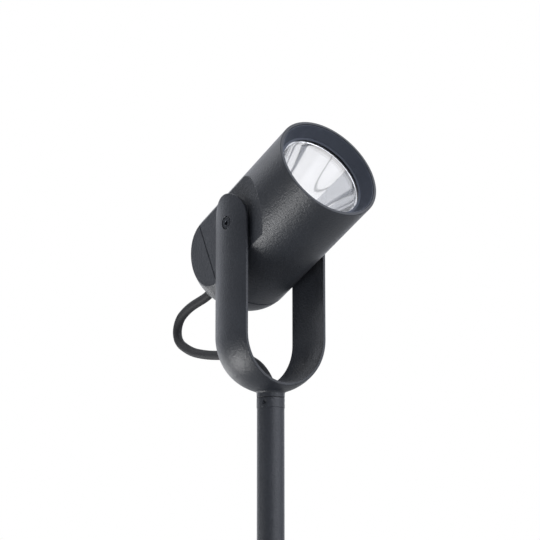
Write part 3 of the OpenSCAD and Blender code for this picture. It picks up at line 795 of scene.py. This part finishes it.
PIVOT_TIP = 37.4
PIVOT_THREAD_R = 3
PIVOT_SHOULDER_R = 3.5
PIVOT_HEAD_R = 5.3
PIVOT_HEAD_X = 48.5
PIVOT_FACE = 50.5
PIVOT_SHANK = [
    (0, PIVOT_TIP, 0), (PIVOT_THREAD_R, PIVOT_TIP, 0.5), (PIVOT_THREAD_R, BOSS_X, 0),
    (PIVOT_SHOULDER_R, BOSS_X, 0), (PIVOT_SHOULDER_R, PIVOT_HEAD_X, 0), (PIVOT_HEAD_R, PIVOT_HEAD_X, 0.2),
]
pivot = make("pivot_bolts", [
    (socket_screw(PIVOT_HEAD_R, PIVOT_FACE, 2.3, 1.5, PIVOT_SHANK), across(side)) for side in (1, -1)
])
fit(pivot, "head", "dark_screw", "pivot_screws")

SET_TIP = 7.85
SET_SHANK = [(0, SET_TIP, 0), (SET_SCREW_R, SET_TIP, 0.4)]
SET_FACE = NECK_R - SET_SCREW_SINK
collar_middle = sum(COLLAR) / 2
set_angles = [SET_SCREW_AT + 360 / SET_SCREWS * k for k in range(SET_SCREWS)]
fixings = make("collar_screws", [
    (socket_screw(SET_SCREW_R, SET_FACE, 1.2, 2, SET_SHANK), outwards(a, collar_middle)) for a in set_angles
])
fit(fixings, "post", "dark_screw", "set_screws")

GRUB_TIP = 11.5
GRUB_SHANK = [(0, GRUB_TIP, 0), (GRUB_R, GRUB_TIP, 0.5)]
GRUB_FACE = SOCKET_R - SET_SCREW_SINK
grubs = make("socket_screws", [
    (socket_screw(GRUB_R, GRUB_FACE, 1.8, 2, GRUB_SHANK), outwards(a, GRUB_Z)) for a in (0, 180)
])
fit(grubs, "post", "dark_screw", "grub_screws")


# Yoke

STRIP_ROWS = 20
SWEEP_ROWS = 28
LINE_START = math.radians(42)
ARM_JOIN = 462
SHARES = (0, 0.2, 0.42, 0.62, 0.8, 0.92, 1)


def u_point(side, radius, y, angle, z):
    """Point of the bent strip: the angle runs round the bowl from below, and z goes on up the arm"""
    reach = math.sqrt(radius ** 2 - y ** 2)
    if z > BOWL_Z:
        return Vector((side * reach, y, z))
    return Vector((side * reach * math.sin(angle), y, BOWL_Z - reach * math.cos(angle)))


def strip_parts(side):
    """Both faces and both edges of the strip, from beside the neck to below the screw"""
    stations = [(a, BOWL_Z) for a in steps_between(LINE_START, math.pi / 2, 16)]
    stations += [(math.pi / 2, z) for z in steps_between(BOWL_Z, ARM_JOIN, 12)[1:]]
    across_y = steps_between(-STRIP, STRIP, STRIP_ROWS)
    faces = [[[u_point(side, r, y, a, z) for y in across_y] for a, z in stations] for r in (YOKE_R, YOKE_IN)]
    edges = [[[u_point(side, r, y, a, z) for r in (YOKE_R, YOKE_IN)] for a, z in stations]
             for y in (-STRIP, STRIP)]
    return faces + edges


def on_ball(radius, p):
    """Point of the bowl, seen from below at p; the bowl is part of a ball"""
    return Vector((p.x, p.y, BOWL_Z - math.sqrt(radius ** 2 - p.x ** 2 - p.y ** 2)))


def neck_outline(radius):
    """Outline of the part of the bowl round the neck, seen from below"""
    def at(angle, y):
        reach = math.sqrt(radius ** 2 - y ** 2)
        return Vector((reach * math.sin(angle), y))

    lines = steps_between(-STRIP, STRIP, STRIP_ROWS)
    sweep = steps_between(LINE_START, -LINE_START, SWEEP_ROWS)
    return (
        [at(LINE_START, y) for y in lines] + [at(a, STRIP) for a in sweep[1:-1]]
        + [at(-LINE_START, -y) for y in lines] + [at(-a, -STRIP) for a in sweep[1:-1]]
    )


def neck_profile():
    """From the start of the fillet under the bowl, down the neck and up inside it to the pocket"""
    far = YOKE_R + NECK_FILLET
    out = NECK_R + NECK_FILLET
    low = -math.sqrt(far ** 2 - out ** 2)
    begin = math.atan2(-low, -out)
    arc = [(out + NECK_FILLET * math.cos(a), BOWL_Z + low + NECK_FILLET * math.sin(a), 0)
           for a in steps_between(begin, math.pi, 6)]
    pocket = BOWL_Z - YOKE_IN
    pocket_rim = BOWL_Z - math.sqrt(YOKE_IN ** 2 - GROMMET_R ** 2)
    return arc + [
        (NECK_R, NECK_BOTTOM, 0.4), (STEM_R, NECK_BOTTOM, 0.3), (STEM_R, STEM_TOP, 0),
        (CABLE_HOLE, STEM_TOP, 0), (CABLE_HOLE, pocket, 0), (GROMMET_R, pocket, 0),
        (GROMMET_R, pocket_rim, 0),
    ]


def neck_parts():
    """Part of the bowl round the neck, with the neck and its bore, and the two edges of that part"""
    outer, inner = neck_outline(YOKE_R), neck_outline(YOKE_IN)
    zero = Vector((0, 0))
    profile = neck_profile()
    outside = rings_between(outer, zero, profile[0][0], SHARES)
    inside = rings_between(inner, zero, GROMMET_R, SHARES)
    columns = []
    for down, up in zip(outside, inside):
        direction = down[0].normalized()
        turned = [(Vector((*(direction * r), z)), fillet) for r, z, fillet in profile]
        below = [on_ball(YOKE_R, p) for p in down[:-1]]
        above = [on_ball(YOKE_IN, p) for p in up[-2::-1]]
        columns.append(below + rounded(turned) + above)
    walls = []
    for start in (STRIP_ROWS, 2 * STRIP_ROWS + SWEEP_ROWS):
        ids = [(start + k) % len(outer) for k in range(SWEEP_ROWS + 1)]
        walls.append([[on_ball(YOKE_R, outer[i]), on_ball(YOKE_IN, inner[i])] for i in ids])
    return [columns + columns[:1]] + walls


def arm_parts(side):
    """Top of an arm: the round end, the screw's recess outside and the pad inside"""
    lines = steps_between(-STRIP, STRIP, STRIP_ROWS)
    rise = steps_between(ARM_JOIN, ARM_ROUND_Z, 14)
    outline = [Vector((y, ARM_JOIN)) for y in lines] + [Vector((STRIP, z)) for z in rise[1:-1]]
    outline += [Vector((STRIP * math.cos(a), ARM_ROUND_Z + STRIP * math.sin(a)))
                for a in steps_between(0, math.pi, 40)]
    outline += [Vector((-STRIP, z)) for z in rise[-2:0:-1]]
    middle = Vector((0, PIVOT_H))

    def on_arm(radius, p):
        return Vector((side * math.sqrt(radius ** 2 - p.x ** 2), p.x, p.y))

    columns = []
    outside = rings_between(outline, middle, RECESS_R, SHARES)
    inside = rings_between(outline, middle, PAD_R, SHARES)
    for out_line, in_line in zip(outside, inside):
        way = (out_line[0] - middle).normalized()

        def at(r, x):
            return Vector((side * x, *(middle + way * r)))

        seat = rounded([
            (on_arm(YOKE_R, out_line[-2]), 0), (on_arm(YOKE_R, out_line[-1]), 0.35),
            (at(RECESS_R, RECESS_X), 0.2), (at(BUSH_R, RECESS_X), 0), (at(BUSH_R, PAD_X), 0),
            (at(PAD_R, PAD_X), 0.3), (on_arm(YOKE_IN, in_line[-1]), 0),
        ])
        columns.append([on_arm(YOKE_R, p) for p in out_line[:-2]] + seat
                       + [on_arm(YOKE_IN, p) for p in in_line[-2::-1]])
    wall = [[on_arm(YOKE_R, p), on_arm(YOKE_IN, p)] for p in outline[STRIP_ROWS:] + outline[:1]]
    return [columns + columns[:1], wall]


yoke_parts = neck_parts()
for side in (1, -1):
    yoke_parts += strip_parts(side) + arm_parts(side)
yoke = make("fork", [(part, UPRIGHT) for part in yoke_parts], bevel=0.45)
fit(yoke, "yoke", "cast_aluminium", "yoke")


# Collar, pole and foot

def pocket_wall(radius, low, high, first, count, pocket_r, pocket_z, floor):
    """Round wall with screw pockets in it, evenly spaced from the first angle"""
    part = 360 / count
    half = radius * math.radians(part) / 2
    sides = steps_between(-half, half, 32)
    ups = steps_between(low, high, 8)
    outline = [Vector((s, low)) for s in sides] + [Vector((half, z)) for z in ups[1:-1]]
    outline += [Vector((-s, high)) for s in sides] + [Vector((-half, z)) for z in ups[-2:0:-1]]
    middle = Vector((0, pocket_z))
    parts = []
    for k in range(count):
        turn = Matrix.Rotation(math.radians(first + part * k), 4, "Z")
        columns = []
        for p in outline:
            way = (p - middle).normalized()
            y = pocket_r * way.x
            rim = Vector((radius * math.asin(y / radius), pocket_z + pocket_r * way.y))
            line = []
            for share in SHARES:
                q = p.lerp(rim, share)
                line.append(Vector((radius * math.cos(q.x / radius), radius * math.sin(q.x / radius), q.y)))
            line += [Vector((floor, y, rim.y)), Vector((floor, 0, pocket_z))]
            columns.append([turn @ point for point in line])
        parts.append(columns + columns[:1])
    angles = [first + part * k - part / 2 + math.degrees((s + half) / radius)
              for k in range(count) for s in sides[:-1]] + [first - part / 2 + 360]
    return parts, angles


COLLAR_POCKET = 8
SOCKET_POCKET = 12
collar_walls, collar_angles = pocket_wall(
    NECK_R, *COLLAR, SET_SCREW_AT, SET_SCREWS, SET_SCREW_R + SCREW_GAP, collar_middle, COLLAR_POCKET
)
COLLAR_REST = [
    (NECK_R, COLLAR[1], 0), (STEM_R, COLLAR[1], 0), (STEM_R, SPIGOT_BOTTOM, 0),
    (SPIGOT_R, SPIGOT_BOTTOM, 0), (SPIGOT_R, COLLAR[0], 0), (NECK_R, COLLAR[0], 0),
]
collar = make("top_collar", [
    (part, UPRIGHT) for part in collar_walls + [spun(COLLAR_REST, angles=collar_angles)]
], bevel=0.3)
fit(collar, "post", "cast_aluminium", "collar")

POLE = [(POLE_IN, FOOT_T, 0.3), (POLE_R, FOOT_T, 0.3), (POLE_R, COLLAR[0], 0.3), (POLE_IN, COLLAR[0], 0.3)]
pole = make("tube", [(spun(POLE, 128, closed=True), UPRIGHT)])
fit(pole, "post", "cast_aluminium", "pole")

socket_walls, socket_angles = pocket_wall(
    SOCKET_R, FOOT_T + WELD, SOCKET_TOP, 0, 2, GRUB_R + SCREW_GAP, GRUB_Z, SOCKET_POCKET
)


def socket_profile(turn):
    """Rest of the socket, with a rippled weld bead round its foot"""
    ripple = 0.2 * abs(math.sin(22 * turn))
    middle = WELD / 2 + 0.25
    return [
        (SOCKET_R, SOCKET_TOP, 0), (SOCKET_IN, SOCKET_TOP, 0), (SOCKET_IN, FOOT_T, 0),
        (SOCKET_R + WELD, FOOT_T, 0), (SOCKET_R + WELD - 0.5 + ripple / 2, FOOT_T + 1, 0.5),
        (SOCKET_R + middle + ripple, FOOT_T + middle + ripple, 1.2),
        (SOCKET_R + 0.6, FOOT_T + WELD - 0.5 + ripple / 2, 0.4), (SOCKET_R, FOOT_T + WELD, 0),
    ]


socket = make("foot_tube", [
    (part, UPRIGHT) for part in socket_walls + [spun(socket_profile, angles=socket_angles)]
], bevel=0.5)
fit(socket, "post", "coated_steel", "foot_socket")


def foot_parts():
    """Round plate with bolt holes and the cable's outlet"""
    def outline(inner, outer):
        arc = steps_between(0, math.pi / 2, 32)
        radii = steps_between(inner, outer, 8)
        loop = [(outer, a) for a in arc] + [(r, math.pi / 2) for r in radii[-2:0:-1]]
        loop += [(inner, a) for a in arc[::-1]] + [(r, 0) for r in radii[1:-1]]
        return [Vector((r * math.cos(a), r * math.sin(a))) for r, a in loop]

    centre = Vector((FOOT_HOLE_AT, 0))
    centre.rotate(Matrix.Rotation(math.pi / 4, 2))
    top = rings_between(outline(OUTLET_R, FOOT_R - FOOT_CHAMFER), centre, FOOT_HOLE_R, SHARES)
    bottom = rings_between(outline(OUTLET_R, FOOT_R), centre, FOOT_HOLE_R, SHARES)
    parts = []
    for k in range(4):
        turn = Matrix.Rotation(math.pi / 2 * k, 4, "Z")
        columns = [
            [turn @ Vector((*p, FOOT_T)) for p in high] + [turn @ Vector((*p, 0)) for p in low[::-1]]
            for high, low in zip(top, bottom)
        ]
        parts.append(columns + columns[:1])
    angles = steps_between(0, 360, 128)
    rim = [(FOOT_R - FOOT_CHAMFER, FOOT_T, 0), (FOOT_R, FOOT_T - FOOT_CHAMFER, 0.5), (FOOT_R, 0, 0)]
    outlet = [(OUTLET_R, FOOT_T, 0), (OUTLET_R, 0, 0)]
    return parts + [spun(rim, angles=angles), spun(outlet, angles=angles)]


plate = make("base_plate", [(part, UPRIGHT) for part in foot_parts()], bevel=0.4)
fit(plate, "post", "coated_steel", "foot_plate")


# Solids that keep their shape take the finish of their slot
replaced = {name for piece in bpy.data.objects for name in piece.get("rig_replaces", [])}
for name in sorted(set(frame["nodes"]) - replaced):
    for holder in frame["nodes"][name].material_slots:
        holder.material = FINISHES[holder.material.name]


# Studio: a white backdrop, soft boxes and a pale floor

def towards(turn, rise):
    """Direction that is level from the front towards the lamp's left by the turn, and then up by the rise"""
    turn, rise = math.radians(turn), math.radians(rise)
    return Vector((-math.sin(turn) * math.cos(rise), -math.cos(turn) * math.cos(rise), math.sin(rise)))


def soft_box(name, turn, rise, away, width, height, power, beam):
    """Area light that faces the lamp, with a grid that holds its light within the beam's angle"""
    data = bpy.data.lights.new(name, "AREA")
    data.shape = "RECTANGLE"
    data.size = width
    data.size_y = height
    data.energy = power
    data.spread = math.radians(beam)
    light = bpy.data.objects.new(name, data)
    bpy.context.scene.collection.objects.link(light)
    out = towards(turn, rise)
    light.location = PIVOT + out * away
    light.rotation_euler = (-out).to_track_quat("-Z", "Y").to_euler()
    light.visible_camera = False


soft_box("low left box", 125, -48, 0.64, 0.42, 0.24, 0.98, 90)
soft_box("low back box", 184, -20, 0.95, 0.5, 0.3, 0.1, 50)
soft_box("high left box", 140, 45, 1.6, 0.8, 0.8, 6, 180)

# Surroundings: grey walls, with white screens behind the lamp, above it and beyond its right side, and a
# small one high on its left, which lights the slope of the head's flat side.
# Each screen: its turn and rise, the angles at its full and its faint edge, and how bright it is
WALLS = 0.37
SCREENS = [
    (217, 0, 35, 80, 1.35), (-60, 46, 18, 28, 2.2), (-38, -10, 20, 34, 2.4), (-12, 28, 26, 38, 3.0),
    (0, 90, 30, 44, 0.9), (162, 22, 4, 13, 2.4),
]

world = bpy.data.worlds.new("studio")
world.use_nodes = True
sky = world.node_tree
sky.nodes.clear()
direction = add(sky, "TexCoord").outputs["Generated"]
level = WALLS
for turn, rise, full, faint, bright in SCREENS:
    facing = add(sky, "VectorMath", {0: direction, 1: towards(turn, rise)}, operation="DOT_PRODUCT")
    lit = add(sky, "MapRange", {
        "Value": facing.outputs["Value"], "From Min": math.cos(math.radians(faint)),
        "From Max": math.cos(math.radians(full)), "To Min": 0, "To Max": bright,
    })
    level = add(sky, "Math", {0: lit.outputs["Result"], 1: level}, operation="MAXIMUM").outputs[0]
# Narrow dark gap across the surroundings, which the bowl mirrors as a thin line
GAP_FACING = (0.784, 0.596, -0.172)
across_gap = add(sky, "VectorMath", {0: direction, 1: GAP_FACING}, operation="DOT_PRODUCT")
from_gap = add(sky, "Math", {0: across_gap.outputs["Value"]}, operation="ABSOLUTE")
gap = add(sky, "MapRange", {
    "Value": from_gap.outputs[0], "From Min": 0.012, "From Max": 0.03, "To Min": 0.25, "To Max": 1,
}).outputs["Result"]
level = add(sky, "Math", {0: level, 1: gap}, operation="MULTIPLY").outputs[0]
# The camera sees a white backdrop. What is mirrored more than once, as inside the bowl, shows it too, but
# with the gap. The ray's depth is 2 where the surroundings are mirrored once, so the limit lies above it.
MIRRORED_ONCE = 2.5
path = add(sky, "LightPath")
again = add(sky, "Math", {0: path.outputs["Ray Depth"], 1: MIRRORED_ONCE}, operation="GREATER_THAN")
mirrored = add(sky, "Math", {0: again.outputs[0], 1: path.outputs["Is Glossy Ray"]}, operation="MULTIPLY")
plain = add(sky, "Math", {0: mirrored.outputs[0], 1: path.outputs["Is Camera Ray"]}, operation="MAXIMUM")
cast = add(sky, "Background", {"Color": linear("#f0f3fb"), "Strength": level})
white = add(sky, "Math", {0: path.outputs["Is Camera Ray"], 1: gap}, operation="MAXIMUM")
seen = add(sky, "Background", {"Color": linear("#ffffff"), "Strength": white.outputs[0]})
add(sky, "OutputWorld", {"Surface": add(sky, "MixShader", {
    0: plain.outputs[0], 1: cast.outputs[0], 2: seen.outputs[0],
}).outputs[0]})
bpy.context.scene.world = world
bpy.context.scene.view_settings.view_transform = "Standard"

bpy.ops.mesh.primitive_plane_add(size=8)
floor = bpy.context.object
floor.name = "floor"
floor.data.materials.append(plastic("pale floor", "#acacaa", "#b6b6b4", 0.8))
